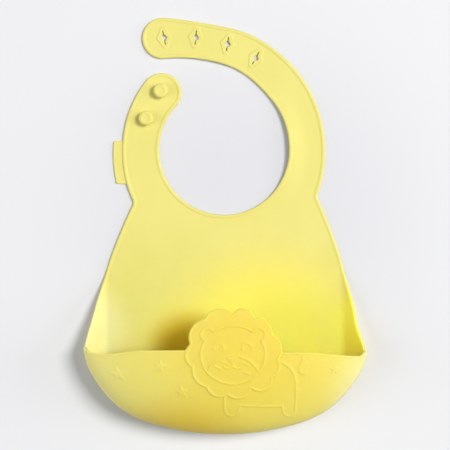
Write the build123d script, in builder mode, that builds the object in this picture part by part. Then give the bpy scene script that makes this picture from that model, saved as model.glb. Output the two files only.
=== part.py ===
from build123d import *

import os
from math import atan2, cos, degrees, pi, radians, sin

# A baby's silicone bib with a moulded food pocket, lying on its back on a table.
# The row frame has +Z up, +Y towards the neck, +X to the viewer's right, and its origin in the
# middle of the footprint, on the table. The bib is soft: where it bends most it is divided into
# stiff lengths that meet on flex lines, and each flex line is a hinge in the record.

# ---------------------------------------------------------------- driving dimensions (mm)
SHEET = 2.0  # wall of the moulding
BEAD_RISE = 0.6  # the raised edge stands this far above the sheet
BEAD_WIDTH = 3.0
FLEX_GAP = 0.2  # between two lengths that meet on a flex line
SEAM_GAP = 0.3  # between the pocket's back and its front, which lifts away

POCKET_HALF_WIDTH = 104.0
POCKET_REACH = 59.0  # from the pocket's mouth to its lowest edge
MOUTH_Y = -94.0  # the two corners of the mouth
MOUTH_LEAN = 4.5  # how far the top of the mouth stands towards the neck
SEAM_Z = 18.0  # where the front wall meets the back
DOME_RISE = 28.0  # the front wall's crown above the seam
FLOOR_HALF_WIDTH = 90.0  # the flat back, between the two turned-up sides
BEND_RADIUS = 8.0
RIM_BEAD_DEPTH = 2.6
RIM_BEAD_FOOT_Z = 23.0  # the bead ends here, just above the corners of the chest panel

CHEST_FOLD_Y = -22.5
TOP = SHEET + BEAD_RISE

# The neck opening and the two straps are arcs about these centres.
NECK_CENTRE = (-0.75, 56.3)
NECK_RADIUS = 48.7
NECK_END_ANGLE = 135.5  # where the neckline runs into the stud strap's end
STRAP_CENTRE = (-18.4, 56.3)
STRAP_INNER_RADIUS = 66.35
STRAP_OUTER_RADIUS = 93.2
STRAP_END_CENTRE = (-46.6, 139.9)
STRAP_END_RADIUS = 15.4
STUD_END_CENTRE = (-47.6, 99.0)
STUD_END_RADIUS = 14.8
SHOULDER_CENTRE = (1.7, 56.5)
SHOULDER_RADIUS = 79.2
PINCH_RIGHT = (67.5, 21.5)
PINCH_LEFT = (-68.3, 16.8)
PINCH_FILLET = 6.0
CHEST_BULGE_RIGHT = (89.4, -36.0)
CHEST_BULGE_LEFT = (-89.6, -36.0)

# Flex lines across the straps: a point on the line and the way the strap runs on from it.
HOLE_STRAP_ROOT = ((61.0, 51.75), (0.0, 1.0))
HOLE_STRAP_MID = ((33.0, 117.0), (-0.781, 0.625))
HOLE_STRAP_END = ((-9.4, 138.4), (-0.997, 0.077))
STUD_STRAP_ROOT = ((-62.6, 69.0), (0.0, 1.0))
STUD_STRAP_END = ((-53.6, 90.0), (0.468, 0.884))

STUD_PLACES = {"stud_upper": (-48.1, 100.2), "stud_lower": (-59.0, 79.7)}
STUD_STEM_RADIUS = 3.0
STUD_STEM_HEIGHT = 3.2
STUD_HEAD_RADIUS = 5.5
STUD_HEAD_HEIGHT = 3.0
STUD_ROUND = 1.3

# Buttonholes from the strap's end: place, and the tilt of the slit.
HOLES = [(-45.7, 140.2, 4.0), (-22.0, 140.4, -8.0), (1.8, 135.6, -14.0), (22.9, 125.0, -29.0)]
EYE_HALF_WIDTH = 2.1
EYE_HALF_HEIGHT = 2.9
SLIT_LENGTH = 10.0
SLIT_WIDTH = 1.0
RIM_HALF_WIDTH = 5.4
RIM_HALF_HEIGHT = 8.3
RIM_RISE = 0.7

TAB_THICKNESS = 1.4
TAB_ROOT_X = -70.0
TAB_TIP_X = -83.8
TAB_LOW_Y = 31.5
TAB_HIGH_Y = 63.0

# The mane's outline: the cusps between its locks, and the top of the lock that follows each.
MANE_LOCKS = [
    ((5.8, -64.0), (13.5, -60.2)),
    ((21.3, -67.2), (31.0, -70.4)),
    ((34.5, -79.1), (41.0, -86.6)),
    ((38.4, -96.9), (40.0, -102.1)),
    ((34.2, -110.5), (28.4, -119.9)),
    ((19.0, -118.2), (12.2, -125.6)),
    ((1.8, -123.0), (-6.5, -124.4)),
    ((-13.9, -117.3), (-20.7, -113.7)),
    ((-23.9, -103.0), (-29.4, -94.3)),
    ((-25.5, -86.2), (-26.2, -78.8)),
    ((-15.2, -68.2), (-4.6, -60.4)),
]
MANE_RISE = 0.35
FACE_CENTRE = (5.6, -93.8)
FACE_RADII = (23.3, 20.9)
EAR_PLACE = (18.6, 14.6)  # from the face's centre
EAR_RADIUS = 4.6
LINE_WIDTH = 1.3  # the raised lines of the drawing
LINE_RISE = 0.5
FINE_LINE_WIDTH = 1.0
TAIL_TIP_CENTRE = (56.9, -102.6)
STARS = {
    "star_1": (-77.6, -107.9, 6.0, 12.0),
    "star_2": (-47.2, -102.0, 5.4, -10.0),
    "star_3": (-31.2, -121.0, 5.0, 8.0),
    "star_4": (79.6, -104.5, 4.2, 0.0),
}

FAR = 200.0  # beyond every edge of the bib
SPHERE = 100.0

os.makedirs("parts", exist_ok=True)


def write(part, name):
    """Labels a finished piece and writes it as its own STEP file."""
    part.label = name
    export_step(part, f"parts/{name}.step")


# ---------------------------------------------------------------- the flat outline
def polar(centre, radius, angle):
    """The point at an angle in degrees on a circle."""
    return (centre[0] + radius * cos(radians(angle)), centre[1] + radius * sin(radians(angle)))


# The outline runs on below the pocket's mouth, so that the raised edge doesn't turn in there.
with BuildSketch() as outline:
    with BuildLine():
        outer = ThreePointArc(
            PINCH_RIGHT,
            polar(STRAP_CENTRE, STRAP_OUTER_RADIUS, 25),
            polar(STRAP_CENTRE, STRAP_OUTER_RADIUS, 76),
        )
        strap_top = (STRAP_END_CENTRE[0], STRAP_END_CENTRE[1] + STRAP_END_RADIUS)
        strap_low = (STRAP_END_CENTRE[0], STRAP_END_CENTRE[1] - STRAP_END_RADIUS)
        TangentArc(outer @ 1, strap_top, tangent=outer % 1)
        ThreePointArc(strap_top, polar(STRAP_END_CENTRE, STRAP_END_RADIUS, 180), strap_low)
        inner = CenterArc(STRAP_CENTRE, STRAP_INNER_RADIUS, 0, 72)
        TangentArc(inner @ 1, strap_low, tangent=inner % 1)
        CenterArc(NECK_CENTRE, NECK_RADIUS, 0, NECK_END_ANGLE - 360)
        stud_top = polar(STUD_END_CENTRE, STUD_END_RADIUS, 138)
        ThreePointArc(
            polar(NECK_CENTRE, NECK_RADIUS, NECK_END_ANGLE),
            polar(STUD_END_CENTRE, STUD_END_RADIUS, 45),
            stud_top,
        )
        ThreePointArc(stud_top, polar(SHOULDER_CENTRE, SHOULDER_RADIUS, 175), PINCH_LEFT)
        ThreePointArc(PINCH_LEFT, CHEST_BULGE_LEFT, (-POCKET_HALF_WIDTH, MOUTH_Y))
        Polyline(
            (-POCKET_HALF_WIDTH, MOUTH_Y),
            (-POCKET_HALF_WIDTH, MOUTH_Y - 30),
            (POCKET_HALF_WIDTH, MOUTH_Y - 30),
            (POCKET_HALF_WIDTH, MOUTH_Y),
        )
        ThreePointArc((POCKET_HALF_WIDTH, MOUTH_Y), CHEST_BULGE_RIGHT, PINCH_RIGHT)
    make_face()
    pinches = outline.vertices().filter_by(lambda v: abs(v.X) > 60 and 10 < v.Y < 30)
    fillet(pinches, PINCH_FILLET)

with BuildSketch() as inside_bead:
    add(outline.sketch)
    offset(amount=-BEAD_WIDTH, kind=Kind.ARC, mode=Mode.REPLACE)


def strip_mask(points):
    """A flat face through the points, used to pick one stretch of the outline."""
    with BuildSketch() as mask:
        with BuildLine():
            Polyline(*points, close=True)
        make_face()
    return mask.sketch


def flex_plane(flex_line, gap):
    """The upright plane on a flex line, moved by gap along the strap; its normal runs on along the strap."""
    (x, y), (run_x, run_y) = flex_line
    return Plane(origin=(x + run_x * gap, y + run_y * gap, 0), z_dir=(run_x, run_y, 0))


def flat_length(mask, starts=None, ends=None):
    """One stretch of the flat sheet with its raised edge, cut square at its flex lines."""
    with BuildPart() as length:
        with BuildSketch():
            add(outline.sketch)
            add(mask, mode=Mode.INTERSECT)
        extrude(amount=TOP)
        with BuildSketch(Plane.XY.offset(SHEET)):
            add(inside_bead.sketch)
        extrude(amount=BEAD_RISE, mode=Mode.SUBTRACT)
        if starts is not None:
            split(bisect_by=flex_plane(starts, FLEX_GAP / 2), keep=Keep.TOP)
        if ends is not None:
            split(bisect_by=flex_plane(ends, -FLEX_GAP / 2), keep=Keep.BOTTOM)
    return length.part


HOLE_STRAP_MASK = strip_mask(
    [(0, 40), (FAR, 40), (FAR, FAR), (-FAR, FAR), (-FAR, 119.2), (0, 119.2)]
)
STUD_STRAP_MASK = strip_mask([(-FAR, 60), (-20, 60), (-20, 118), (-FAR, 118)])
YOKE_MASK = strip_mask(
    [
        (-FAR, CHEST_FOLD_Y + FLEX_GAP / 2),
        (FAR, CHEST_FOLD_Y + FLEX_GAP / 2),
        (FAR, HOLE_STRAP_ROOT[0][1] - FLEX_GAP / 2),
        (0, HOLE_STRAP_ROOT[0][1] - FLEX_GAP / 2),
        (0, STUD_STRAP_ROOT[0][1] - FLEX_GAP / 2),
        (-FAR, STUD_STRAP_ROOT[0][1] - FLEX_GAP / 2),
    ]
)


# ---------------------------------------------------------------- collar and straps
def buttonhole(x, y, tilt):
    """The eye and slit of one buttonhole, as a sketch."""
    with BuildSketch(Plane.XY.offset(-1)) as hole:
        with Locations(Location((x, y), tilt)):
            Ellipse(EYE_HALF_WIDTH, EYE_HALF_HEIGHT)
            SlotOverall(SLIT_LENGTH, SLIT_WIDTH, rotation=90)
    return hole.sketch


def with_buttonholes(part, holes):
    """The strap length with its buttonholes cut through."""
    with BuildPart() as cut:
        add(part)
        for x, y, tilt in holes:
            add(buttonhole(x, y, tilt))
        extrude(amount=TOP + RIM_RISE + 2, mode=Mode.SUBTRACT)
    return cut.part


def buttonhole_rim(x, y, tilt):
    """The raised lens-shaped rim round one buttonhole."""
    with BuildPart() as rim:
        with BuildSketch(Plane.XY.offset(SHEET)):
            with Locations(Location((x, y), tilt)):
                Ellipse(RIM_HALF_WIDTH * 0.82, RIM_HALF_HEIGHT)
                Circle(RIM_HALF_WIDTH)
        extrude(amount=RIM_RISE)
        fillet(rim.faces().sort_by(Axis.Z)[-1].edges(), RIM_RISE * 0.4)
        add(buttonhole(x, y, tilt))
        extrude(amount=TOP + RIM_RISE + 2, mode=Mode.SUBTRACT)
    return rim.part


def stud(x, y):
    """A mushroom stud: a stem that stands on the sheet, and a rounded head."""
    neck = SHEET + STUD_STEM_HEIGHT
    crown = neck + STUD_HEAD_HEIGHT
    with BuildPart() as turned:
        with BuildSketch(Plane.XZ.offset(-y)):
            with BuildLine():
                Polyline(
                    (x, crown),
                    (x, SHEET),
                    (x + STUD_STEM_RADIUS + 0.8, SHEET),
                    (x + STUD_STEM_RADIUS, SHEET + 0.8),
                    (x + STUD_STEM_RADIUS, neck),
                    (x + STUD_HEAD_RADIUS, neck + 0.5),
                    (x + STUD_HEAD_RADIUS, crown - STUD_ROUND),
                    (x + STUD_HEAD_RADIUS - STUD_ROUND, crown),
                    close=True,
                )
            make_face()
        revolve(axis=Axis((x, y, 0), (0, 0, 1)))
    return turned.part


write(flat_length(YOKE_MASK), "neck_yoke")
write(flat_length(HOLE_STRAP_MASK, HOLE_STRAP_ROOT, HOLE_STRAP_MID), "hole_strap_root")
hole_strap_mid = flat_length(HOLE_STRAP_MASK, HOLE_STRAP_MID, HOLE_STRAP_END)
write(with_buttonholes(hole_strap_mid, HOLES[2:]), "hole_strap_mid")
hole_strap_end = flat_length(HOLE_STRAP_MASK, HOLE_STRAP_END)
write(with_buttonholes(hole_strap_end, HOLES[:2]), "hole_strap_end")
write(flat_length(STUD_STRAP_MASK, STUD_STRAP_ROOT, STUD_STRAP_END), "stud_strap_root")
write(flat_length(STUD_STRAP_MASK, STUD_STRAP_END), "stud_strap_end")
for number, place in enumerate(HOLES, 1):
    write(buttonhole_rim(*place), f"buttonhole_rim_{number}")
for name, place in STUD_PLACES.items():
    write(stud(*place), name)

with BuildPart() as side_tab:
    with BuildSketch():
        with BuildLine():
            Spline(
                (TAB_TIP_X + 0.4, TAB_HIGH_Y),
                (TAB_TIP_X, (TAB_LOW_Y + TAB_HIGH_Y) / 2 + 4),
                (TAB_TIP_X + 2.6, TAB_LOW_Y),
            )
            Polyline(
                (TAB_TIP_X + 2.6, TAB_LOW_Y),
                (TAB_ROOT_X, TAB_LOW_Y),
                (TAB_ROOT_X, TAB_HIGH_Y),
                (TAB_TIP_X + 0.4, TAB_HIGH_Y),
            )
        make_face()
        add(outline.sketch, mode=Mode.SUBTRACT)
    extrude(amount=TAB_THICKNESS)
write(side_tab.part, "side_tab")


# ---------------------------------------------------------------- chest panel and pocket back
def back_profile(wall):
    """Half of the back's cross-section, seen along the bib, wall mm inside its outer face."""
    slope = atan2(SEAM_Z, POCKET_HALF_WIDTH - FLOOR_HALF_WIDTH)
    shift = wall / sin(slope)
    foot = FLOOR_HALF_WIDTH + (wall / sin(slope)) * (cos(slope) - 1)
    return [(0, wall), (foot, wall), (POCKET_HALF_WIDTH - shift, SEAM_Z)], BEND_RADIUS - wall


def bent_sheet(thickness):
    """The chest's bent sheet, from the mouth of the pocket to the chest fold, before it is trimmed."""
    length = CHEST_FOLD_Y - FLEX_GAP / 2 - MOUTH_Y
    with BuildPart() as sheet:
        with BuildSketch(Plane.XZ.offset(-MOUTH_Y)):
            for wall, mode in ((0.0, Mode.ADD), (thickness, Mode.SUBTRACT)):
                (start, foot, lip), bend = back_profile(wall)
                with BuildLine():
                    FilletPolyline(
                        (-lip[0] - 40, lip[1] + 51.4),
                        (-foot[0], foot[1]),
                        (foot[0], foot[1]),
                        (lip[0] + 40, lip[1] + 51.4),
                        radius=bend,
                    )
                    Line((lip[0] + 40, lip[1] + 51.4), (-lip[0] - 40, lip[1] + 51.4))
                make_face(mode=mode)
        extrude(amount=-length)
    return sheet.part


with BuildPart() as chest_middle:
    add(bent_sheet(SHEET))
    with BuildSketch(Plane.XY.offset(-1)):
        add(outline.sketch)
    extrude(amount=FAR, mode=Mode.INTERSECT)

with BuildPart() as chest_panel:
    add(bent_sheet(TOP))
    with BuildSketch(Plane.XY.offset(-1)):
        add(outline.sketch)
        add(inside_bead.sketch, mode=Mode.SUBTRACT)
    extrude(amount=FAR, mode=Mode.INTERSECT)
    add(chest_middle.part)
write(chest_panel.part, "chest_panel")


def bowl(wall):
    """The solid inside the pocket's back, wall mm inside its outer face: half a bowl, squeezed along Y."""
    (start, foot, lip), bend = back_profile(wall)
    with BuildPart() as half:
        with BuildSketch(Plane.XZ):
            with BuildLine():
                FilletPolyline(start, foot, lip, radius=bend)
                Polyline(lip, (0, SEAM_Z), start)
            make_face()
        revolve(axis=Axis.Z)
        squeeze = (POCKET_REACH - (POCKET_HALF_WIDTH - lip[0])) / lip[0]
        scale(by=(1, squeeze, 1))
        split(bisect_by=Plane.XZ, keep=Keep.TOP)
    return Pos(0, MOUTH_Y, 0) * half.part


with BuildPart() as pocket_back:
    add(bowl(0.0))
    add(bowl(SHEET), mode=Mode.SUBTRACT)
write(pocket_back.part, "pocket_back")


# ---------------------------------------------------------------- pocket front and its relief
def dome(grow):
    """The front wall's outer face grown by grow mm, as a full solid."""
    with BuildPart() as ball:
        Sphere(SPHERE)
        scale(
            by=(
                (POCKET_HALF_WIDTH + grow) / SPHERE,
                (POCKET_REACH + grow) / SPHERE,
                (DOME_RISE + grow) / SPHERE,
            )
        )
    return Pos(0, MOUTH_Y, SEAM_Z) * ball.part


MOUTH_PLANE = Plane(
    origin=(0, MOUTH_Y, SEAM_Z),
    z_dir=(0, DOME_RISE, -MOUTH_LEAN),
)
WALL_EDGE_PLANE = MOUTH_PLANE.offset(-RIM_BEAD_DEPTH)
SEAM_PLANE = Plane.XY.offset(SEAM_Z)


def relief_prism(flat):
    """A flat figure as an upright prism through the front wall."""
    with BuildPart() as prism:
        with BuildSketch(SEAM_PLANE):
            add(flat)
        extrude(amount=DOME_RISE * 2)
    return prism.part


def raised(flat, low, high):
    """A flat figure laid on the front wall, from low to high mm above the wall's outer face."""
    with BuildPart() as layer:
        add(relief_prism(flat))
        add(dome(high), mode=Mode.INTERSECT)
        add(dome(low), mode=Mode.SUBTRACT)
    return layer.part


with BuildSketch() as mane_outline:
    with BuildLine():
        for k, (cusp, top) in enumerate(MANE_LOCKS):
            ThreePointArc(cusp, top, MANE_LOCKS[(k + 1) % len(MANE_LOCKS)][0])
    make_face()

with BuildSketch() as mane_lines:
    add(mane_outline.sketch)
    offset(mane_outline.sketch, amount=-LINE_WIDTH, kind=Kind.ARC, mode=Mode.SUBTRACT)

def oval(quarters):
    """The point on the face's oval, so many quarter turns round."""
    return (
        FACE_CENTRE[0] + FACE_RADII[0] * cos(quarters * pi / 2),
        FACE_CENTRE[1] + FACE_RADII[1] * sin(quarters * pi / 2),
    )


with BuildSketch() as face_outline:
    with BuildLine():
        for quarter in range(4):
            ThreePointArc(oval(quarter), oval(quarter + 0.5), oval(quarter + 1))
    make_face()
    for side in (-1, 1):
        with Locations((FACE_CENTRE[0] + side * EAR_PLACE[0], FACE_CENTRE[1] + EAR_PLACE[1])):
            Circle(EAR_RADIUS)

with BuildSketch() as face_lines:
    offset(face_outline.sketch, amount=LINE_WIDTH / 2, kind=Kind.ARC, mode=Mode.ADD)
    offset(face_outline.sketch, amount=-LINE_WIDTH / 2, kind=Kind.ARC, mode=Mode.SUBTRACT)

with BuildSketch() as muzzle_lines:
    with BuildLine():
        ThreePointArc((-12.6, -104.8), (5.6, -94.4), (23.6, -105.4))
        ThreePointArc((23.6, -105.4), (22.9, -107.6), (20.4, -108.6))
    trace(line_width=LINE_WIDTH)
    add(face_lines.sketch, mode=Mode.SUBTRACT)

with BuildSketch() as nose_outline:
    with BuildLine():
        Polyline((1.5, -95.9), (9.5, -95.9), (5.4, -99.8), close=True)
    make_face()
    fillet(nose_outline.vertices(), 0.9)
    add(muzzle_lines.sketch, mode=Mode.SUBTRACT)

with BuildSketch() as eye_lines:
    with BuildLine():
        ThreePointArc((-8.1, -89.4), (-4.6, -85.6), (-1.2, -89.4))
        ThreePointArc((12.2, -89.5), (15.7, -85.6), (19.1, -89.5))
    trace(line_width=FINE_LINE_WIDTH)

with BuildSketch() as mouth_lines:
    with BuildLine():
        Line((5.4, -99.0), (5.4, -101.0))
        ThreePointArc((5.4, -101.0), (2.6, -103.6), (-0.8, -101.9))
        ThreePointArc((5.4, -101.0), (8.2, -103.7), (11.4, -102.6))
    trace(line_width=FINE_LINE_WIDTH)
    add(nose_outline.sketch, mode=Mode.SUBTRACT)

with BuildSketch() as whisker_lines:
    with BuildLine():
        Line((-7.8, -101.9), (-3.7, -103.9))
        Line((-3.2, -98.1), (0.8, -100.0))
        Line((12.9, -99.6), (16.4, -101.4))
        Line((13.0, -106.3), (17.2, -107.6))
    trace(line_width=FINE_LINE_WIDTH)

with BuildSketch() as body_lines:
    with BuildLine():
        Spline((37.5, -98.6), (46.5, -103.3), (50.4, -110.5), (51.5, -118.5), tangents=[(1.0, -0.1), (0.0, -1.0)])
        Line((51.5, -118.5), (51.1, -133.4))
        ThreePointArc((51.1, -133.4), (46.4, -138.2), (41.8, -133.4))
        Polyline((41.8, -133.4), (41.4, -131.1), (26.0, -131.4), (10.6, -130.4), (9.6, -134.0))
        ThreePointArc((9.6, -134.0), (5.0, -138.3), (-0.3, -133.2))
        Line((-0.3, -133.2), (-0.7, -122.0))
    trace(line_width=LINE_WIDTH)
    add(mane_outline.sketch, mode=Mode.SUBTRACT)

tail_x, tail_y = TAIL_TIP_CENTRE
with BuildSketch() as tail_tip_outline:
    with BuildLine():
        ThreePointArc((tail_x, tail_y + 6.6), (tail_x + 2.7, tail_y + 1.5), (tail_x + 3.2, tail_y - 3.0))
        ThreePointArc((tail_x + 3.2, tail_y - 3.0), (tail_x, tail_y - 6.2), (tail_x - 3.2, tail_y - 3.0))
        ThreePointArc((tail_x - 3.2, tail_y - 3.0), (tail_x - 2.0, tail_y + 1.5), (tail_x, tail_y + 6.6))
    make_face()


def star(x, y, radius, turn):
    """A five-pointed star."""
    corners = []
    for k in range(10):
        reach = radius if k % 2 == 0 else radius * 0.46
        angle = radians(90 + turn + 36 * k)
        corners.append((x + reach * cos(angle), y + reach * sin(angle)))
    with BuildSketch() as flat:
        with BuildLine():
            Polyline(*corners, close=True)
        make_face()
    return flat.sketch


with BuildPart() as pocket_front:
    add(dome(0.0))
    add(dome(-SHEET), mode=Mode.SUBTRACT)
    split(bisect_by=SEAM_PLANE.offset(SEAM_GAP), keep=Keep.TOP)
    split(bisect_by=WALL_EDGE_PLANE, keep=Keep.BOTTOM)
write(pocket_front.part, "pocket_front")

with BuildPart() as rim_bead:
    add(dome(BEAD_RISE))
    add(dome(-SHEET - 0.4), mode=Mode.SUBTRACT)
    split(bisect_by=Plane.XY.offset(RIM_BEAD_FOOT_Z), keep=Keep.TOP)
    split(bisect_by=WALL_EDGE_PLANE, keep=Keep.TOP)
    split(bisect_by=MOUTH_PLANE, keep=Keep.BOTTOM)
    add(relief_prism(mane_outline.sketch), mode=Mode.SUBTRACT)
rim_left, rim_right = rim_bead.part.solids().sort_by(Axis.X)
write(rim_left, "pocket_rim_left")
write(rim_right, "pocket_rim_right")

with BuildPart() as mane_flap:
    add(raised(mane_outline.sketch, -SHEET, MANE_RISE))
    split(bisect_by=WALL_EDGE_PLANE, keep=Keep.TOP)

with BuildPart() as mane:
    add(raised(mane_outline.sketch, 0.0, MANE_RISE))
    add(mane_flap.part)
write(mane.part, "lion_mane")

MANE_TOP = MANE_RISE + LINE_RISE
write(raised(mane_lines.sketch, MANE_RISE, MANE_TOP), "lion_mane_outline")
write(raised(face_lines.sketch, MANE_RISE, MANE_TOP), "lion_face_outline")
write(raised(muzzle_lines.sketch, MANE_RISE, MANE_TOP), "lion_muzzle_outline")
write(raised(nose_outline.sketch, MANE_RISE, MANE_TOP), "lion_nose")
write(raised(eye_lines.sketch, MANE_RISE, MANE_TOP), "lion_eyes")
write(raised(mouth_lines.sketch, MANE_RISE, MANE_TOP), "lion_mouth")
write(raised(whisker_lines.sketch, MANE_RISE, MANE_TOP), "lion_whiskers")
write(raised(body_lines.sketch, 0.0, LINE_RISE), "lion_body_outline")
write(raised(tail_tip_outline.sketch, 0.0, LINE_RISE), "lion_tail_tip")
for name, place in STARS.items():
    write(raised(star(*place), 0.0, LINE_RISE), name)
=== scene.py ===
import math

import bpy
import numpy as np
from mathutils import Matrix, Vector
from mathutils.geometry import delaunay_2d_cdt


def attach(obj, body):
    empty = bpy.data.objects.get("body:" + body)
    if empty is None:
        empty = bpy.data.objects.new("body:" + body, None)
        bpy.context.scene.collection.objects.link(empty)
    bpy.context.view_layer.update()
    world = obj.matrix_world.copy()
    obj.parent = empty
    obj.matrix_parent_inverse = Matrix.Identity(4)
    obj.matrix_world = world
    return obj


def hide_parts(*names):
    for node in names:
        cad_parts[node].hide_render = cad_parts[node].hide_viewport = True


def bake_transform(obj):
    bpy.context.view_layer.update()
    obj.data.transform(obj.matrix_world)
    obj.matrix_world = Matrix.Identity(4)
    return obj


# A baby's silicone bib, moulded in one: every visible mesh is part of the same moulding, divided
# only between one flex line of the frame and the next. Lengths are in millimetres until a mesh is
# made, and in metres from then on.

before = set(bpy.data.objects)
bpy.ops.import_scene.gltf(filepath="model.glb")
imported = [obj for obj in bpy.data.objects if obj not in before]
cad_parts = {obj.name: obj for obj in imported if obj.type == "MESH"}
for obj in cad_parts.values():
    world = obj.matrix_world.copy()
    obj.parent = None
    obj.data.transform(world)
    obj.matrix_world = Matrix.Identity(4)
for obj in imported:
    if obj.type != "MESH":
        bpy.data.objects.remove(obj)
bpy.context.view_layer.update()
MM = 0.001

# ------------------------ dimensions, as in the part
SHEET = 2.0
EDGE_RISE = 0.46  # the raised edge, worn softer than the part's
POCKET_X = 104.0
POCKET_Y = 59.0
MOUTH_Y = -94.0
MOUTH_LEAN = 4.5
SEAM_Z = 18.0
DOME = 28.0
FLOOR_X = 90.0
BEND = 8.0
NECK = (-0.75, 56.3)
NECK_R = 48.7
STRAP = (-18.4, 56.3)
STRAP_IN = 66.35
STRAP_OUT = 93.2
OUTER_ANGLE = 76  # where the strap's outer edge leaves its circle, in degrees about STRAP
INNER_ANGLE = 72  # and its inner edge
NECK_ANGLE = 135.5  # where the neck opening ends, about NECK
STUD_END = (-47.6, 99.0)
STUD_END_R = 14.8
PINCH_R = 5.5
STEP = 0.9  # spacing of points along an edge
BOWL_STEP = 0.0095  # spacing along the pocket's seam, as a part of its half-width

SIDE_ANGLE = math.atan2(SEAM_Z, POCKET_X - FLOOR_X)


# ------------------------ plane curves
def polar(centre, radius, angle):
    a = math.radians(angle)
    return np.array([centre[0] + radius * math.cos(a), centre[1] + radius * math.sin(a)])


def angle_at(centre, p):
    return math.degrees(math.atan2(p[1] - centre[1], p[0] - centre[0]))


def arc(centre, radius, start, end, step=STEP):
    """Points on an arc from one angle to another, in degrees."""
    count = max(3, int(abs(math.radians(end - start)) * radius / step) + 2)
    t = np.radians(np.linspace(start, end, count))
    return np.stack([centre[0] + radius * np.cos(t), centre[1] + radius * np.sin(t)], 1)


def circle_through(a, b, c):
    (ax, ay), (bx, by), (cx, cy) = a, b, c
    d = 2 * (ax * (by - cy) + bx * (cy - ay) + cx * (ay - by))
    sa, sb, sc = ax * ax + ay * ay, bx * bx + by * by, cx * cx + cy * cy
    ux = (sa * (by - cy) + sb * (cy - ay) + sc * (ay - by)) / d
    uy = (sa * (cx - bx) + sb * (ax - cx) + sc * (bx - ax)) / d
    return np.array([ux, uy]), math.hypot(ax - ux, ay - uy)


def short_arc(centre, p, q, step=STEP):
    """The shorter way round a circle from p to q."""
    radius = math.hypot(p[0] - centre[0], p[1] - centre[1])
    start = angle_at(centre, p)
    turn = (angle_at(centre, q) - start + 180) % 360 - 180
    return arc(centre, radius, start, start + turn, step)


def three_arc(a, b, c, step=STEP):
    """The arc from a through b to c."""
    centre, radius = circle_through(a, b, c)
    start, middle, end = angle_at(centre, a), angle_at(centre, b), angle_at(centre, c)
    forward = (end - start) % 360
    if (middle - start) % 360 > forward:
        forward -= 360
    return arc(centre, radius, start, start + forward, step)


def tangent_arc(a, along, b, step=STEP):
    """The arc that leaves a in the direction along and ends at b."""
    a, b = np.array(a), np.array(b)
    normal = np.array([-along[1], along[0]]) / math.hypot(*along)
    reach = b - a
    radius = reach @ reach / (2 * normal @ reach)
    return short_arc(a + normal * radius, a, b, step)


def join(*runs):
    """One polyline from runs that follow each other, without repeated points."""
    points = [runs[0][0]]
    for run in runs:
        for p in run:
            if math.hypot(p[0] - points[-1][0], p[1] - points[-1][1]) > 0.02:
                points.append(p)
    return np.array(points)


def smooth(t):
    t = np.clip(t, 0, 1)
    return t * t * (3 - 2 * t)


def distance(points, line, closed=False):
    """Distance from each point to a polyline."""
    a = line
    b = np.roll(line, -1, 0)
    if not closed:
        a, b = a[:-1], b[:-1]
    out = np.full(len(points), 1e9)
    ab = b - a
    length2 = np.maximum((ab**2).sum(1), 1e-12)
    for first in range(0, len(points), 2000):
        p = points[first : first + 2000, None, :]
        t = np.clip(((p - a) * ab).sum(2) / length2, 0, 1)
        gap = p - (a + t[..., None] * ab)
        out[first : first + 2000] = np.sqrt((gap**2).sum(2).min(1))
    return out


def line_gap(points, line, toward):
    """Distance from each point to a polyline, and how squarely the point lies on one side of it."""
    a, b = line[:-1], line[1:]
    ab = b - a
    t = np.clip(((points[:, None, :] - a) * ab).sum(2) / np.maximum((ab**2).sum(1), 1e-12), 0, 1)
    gap = points[:, None, :] - (a + t[..., None] * ab)
    far = np.sqrt((gap**2).sum(2))
    nearest = far.argmin(1)
    row = np.arange(len(points))
    d = far[row, nearest]
    return d, (gap[row, nearest] @ np.array(toward)) / np.maximum(d, 1e-6)


def inside(points, loop):
    """Which points lie inside a closed loop."""
    result = np.zeros(len(points), bool)
    a, b = loop, np.roll(loop, -1, 0)
    for first in range(0, len(points), 4000):
        p = points[first : first + 4000]
        above = (a[None, :, 1] > p[:, None, 1]) != (b[None, :, 1] > p[:, None, 1])
        rise = b[:, 1] - a[:, 1]
        rise = np.where(np.abs(rise) < 1e-12, 1e-12, rise)
        slope = (b - a)[None, :, 0] / rise[None, :]
        cross = a[None, :, 0] + (p[:, None, 1] - a[None, :, 1]) * slope
        result[first : first + 4000] = (above & (p[:, None, 0] < cross)).sum(1) % 2 == 1
    return result


def offsets(line, gaps, closed=False):
    """Points beside a polyline, at each gap to its left."""
    ahead = np.roll(line, -1, 0) - np.roll(line, 1, 0)
    if not closed:
        ahead[0] = line[1] - line[0]
        ahead[-1] = line[-1] - line[-2]
    ahead /= np.maximum(np.hypot(ahead[:, 0], ahead[:, 1])[:, None], 1e-9)
    left = np.stack([-ahead[:, 1], ahead[:, 0]], 1)
    return np.concatenate([line + left * g for g in gaps])


def sparse(points, taken, gap):
    """The points that keep clear of each other and of the points already taken."""
    grid = {}

    def put(p):
        grid.setdefault((int(p[0] // gap), int(p[1] // gap)), []).append((p[0], p[1]))

    def near(p):
        i, j = int(p[0] // gap), int(p[1] // gap)
        for u in (i - 1, i, i + 1):
            for v in (j - 1, j, j + 1):
                for q in grid.get((u, v), ()):
                    if (q[0] - p[0]) ** 2 + (q[1] - p[1]) ** 2 < gap * gap:
                        return True
        return False

    for q in taken:
        put(q)
    kept = []
    for p in points:
        if not near(p):
            put(p)
            kept.append(p)
    return np.array(kept).reshape(-1, 2)


def lattice(low, high, step):
    """A staggered grid of points over a rectangle."""
    rows = []
    for k, y in enumerate(np.arange(low[1], high[1], step * 0.866)):
        x = np.arange(low[0] + (k % 2) * step / 2, high[0], step)
        rows.append(np.stack([x, np.full(len(x), y)], 1))
    return np.concatenate(rows)


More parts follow.
